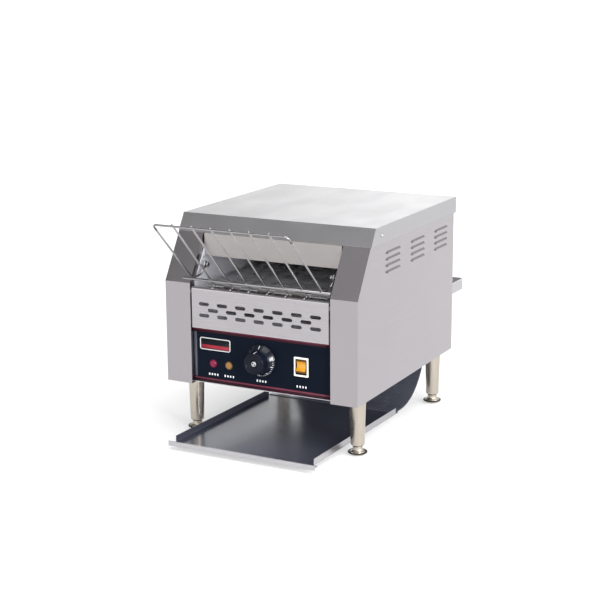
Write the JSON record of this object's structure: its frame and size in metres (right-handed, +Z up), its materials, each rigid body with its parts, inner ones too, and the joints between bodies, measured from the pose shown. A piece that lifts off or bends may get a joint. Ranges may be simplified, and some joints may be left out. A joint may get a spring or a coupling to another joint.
{
  "type": "conveyor toaster",
  "caption": "Countertop conveyor toaster with a wire loading rack, mesh belt, slotted front, control panel and a long output tray on tapered legs.",
  "frame": {"origin": "bottom centre of the whole object's box, on the surface it stands on", "axes": "+Z up; the front, where bread goes in and toast comes out, faces -Y; +X to the right seen from the front"},
  "size_m": [0.372, 0.6046, 0.4057],
  "materials": {
    "side_steel": "brushed stainless, satin, light",
    "cover_steel": "brushed stainless, satin, bright",
    "grille_steel": "fine satin stainless",
    "inner_steel": "plain mill-finish stainless, heat tinted",
    "base_steel": "mill-finish stainless",
    "deflector_steel": "pale satin stainless",
    "reflector_steel": "bright aluminised steel",
    "tray_steel": "polished stainless with fine scratches",
    "guard_steel": "satin stainless strap",
    "panel_navy": "dark navy printed overlay",
    "badge_metal": "satin aluminium plate, blank",
    "lens_red": "red translucent lens",
    "lens_amber": "amber translucent lens",
    "knob_black": "black phenolic, polished",
    "knob_silver": "bright turned aluminium",
    "shaft_steel": "ground steel",
    "control_body": "black moulded body",
    "switch_white": "white moulded bezel",
    "switch_amber": "amber translucent rocker",
    "rack_chrome": "bright chromed wire",
    "pin_steel": "bright steel",
    "quartz": "milky quartz tube",
    "ceramic": "white glazed ceramic",
    "belt_wire": "heat-darkened stainless wire",
    "sprocket_steel": "dark machined steel",
    "bush_bronze": "sintered bronze",
    "motor_paint": "grey painted motor and gearbox",
    "blanket": "ceramic fibre blanket",
    "lead_rubber": "black insulation",
    "leg_steel": "satin stainless tube, warm"
  },
  "bodies": {
    "chassis": {"side_panel_left": "side_steel", "side_panel_right": "side_steel", "inner_wall_left": "inner_steel", "inner_wall_right": "inner_steel", "base_plate": "base_steel", "rear_panel": "base_steel", "top_cover": "cover_steel", "front_header": "inner_steel", "slotted_panel": "grille_steel", "control_panel": "base_steel", "panel_overlay": "panel_navy", "badge_plate": "badge_metal", "red_lamp": "lens_red", "amber_lamp": "lens_amber", "speed_control": "control_body", "rocker_housing": "switch_white", "rack_pins": "pin_steel", "deflector": "deflector_steel", "upper_reflector": "reflector_steel", "lower_reflector": "reflector_steel", "upper_heaters": "quartz", "lower_heaters": "quartz", "heater_caps": "ceramic", "mesh_belt": "belt_wire", "shaft_bushes": "bush_bronze", "drive_chain": "sprocket_steel", "motor_gearbox": "motor_paint", "drive_motor": "motor_paint", "fan_frame": "control_body", "crumb_plate": "inner_steel", "insulation_blanket": "blanket", "terminal_block": "ceramic", "wiring_loom": "lead_rubber", "cord_gland": "control_body", "tray_rails": "base_steel", "output_chute": "tray_steel", "rear_guard": "guard_steel", "leg_front_left": "leg_steel", "leg_front_right": "leg_steel", "leg_rear_left": "leg_steel", "leg_rear_right": "leg_steel", "screws": "pin_steel"},
    "rack": {"loading_rack": "rack_chrome"},
    "knob": {"control_shaft": "shaft_steel", "speed_knob": "knob_black", "knob_cap": "knob_silver"},
    "rocker": {"power_rocker": "switch_amber"},
    "tray": {"output_tray": "tray_steel"},
    "rear_roller": {"rear_shaft": "shaft_steel", "rear_sprockets": "sprocket_steel", "drive_sprocket": "sprocket_steel"},
    "front_roller": {"front_shaft": "shaft_steel", "front_sprockets": "sprocket_steel"},
    "motor_output": {"motor_shaft": "shaft_steel", "motor_sprocket": "sprocket_steel"},
    "fan": {"fan_rotor": "control_body"},
    "foot_front_left_body": {"foot_front_left": "leg_steel"},
    "foot_front_right_body": {"foot_front_right": "leg_steel"},
    "foot_rear_left_body": {"foot_rear_left": "leg_steel"},
    "foot_rear_right_body": {"foot_rear_right": "leg_steel"}
  },
  "joints": [
    {"name": "rack_fold", "type": "hinge", "parent": "chassis", "child": "rack", "pos_m": [0, -0.13967, 0.305], "axis": [-1, 0, 0], "range_deg": [0, 70]},
    {"name": "speed_knob_turn", "type": "hinge", "parent": "chassis", "child": "knob", "pos_m": [-0.001, -0.17567, 0.1555], "axis": [0, 1, 0], "range_deg": [0, 280]},
    {"name": "power_rocker_tilt", "type": "hinge", "parent": "chassis", "child": "rocker", "pos_m": [0.0755, -0.16167, 0.15375], "axis": [1, 0, 0], "range_deg": [0, 20]},
    {"name": "tray_slide", "type": "slide", "parent": "chassis", "child": "tray", "axis": [0, -0.9997, 0.0227], "range_m": [0, 0.22]},
    {"name": "rear_roller_spin", "type": "hinge", "parent": "chassis", "child": "rear_roller", "pos_m": [0, 0.14833, 0.252], "axis": [-1, 0, 0], "continuous": true},
    {"name": "front_roller_spin", "type": "hinge", "parent": "chassis", "child": "front_roller", "pos_m": [0, -0.14167, 0.252], "axis": [-1, 0, 0], "continuous": true},
    {"name": "motor_spin", "type": "hinge", "parent": "chassis", "child": "motor_output", "pos_m": [0.15, 0.07433, 0.15], "axis": [-1, 0, 0], "continuous": true},
    {"name": "fan_spin", "type": "hinge", "parent": "chassis", "child": "fan", "pos_m": [-0.06, 0.02433, 0.115], "axis": [0, 0, 1], "continuous": true},
    {"name": "foot_front_left_turn", "type": "hinge", "parent": "chassis", "child": "foot_front_left_body", "pos_m": [-0.158, -0.12167, 0.01], "axis": [0, 0, 1], "continuous": true},
    {"name": "foot_front_right_turn", "type": "hinge", "parent": "chassis", "child": "foot_front_right_body", "pos_m": [0.158, -0.12167, 0.01], "axis": [0, 0, 1], "continuous": true},
    {"name": "foot_rear_left_turn", "type": "hinge", "parent": "chassis", "child": "foot_rear_left_body", "pos_m": [-0.158, 0.20633, 0.01], "axis": [0, 0, 1], "continuous": true},
    {"name": "foot_rear_right_turn", "type": "hinge", "parent": "chassis", "child": "foot_rear_right_body", "pos_m": [0.158, 0.20633, 0.01], "axis": [0, 0, 1], "continuous": true}
  ],
  "couplings": [
    {"joint": "front_roller_spin", "follows": "rear_roller_spin", "ratio": 1},
    {"joint": "motor_spin", "follows": "rear_roller_spin", "ratio": 1.5}
  ]
}
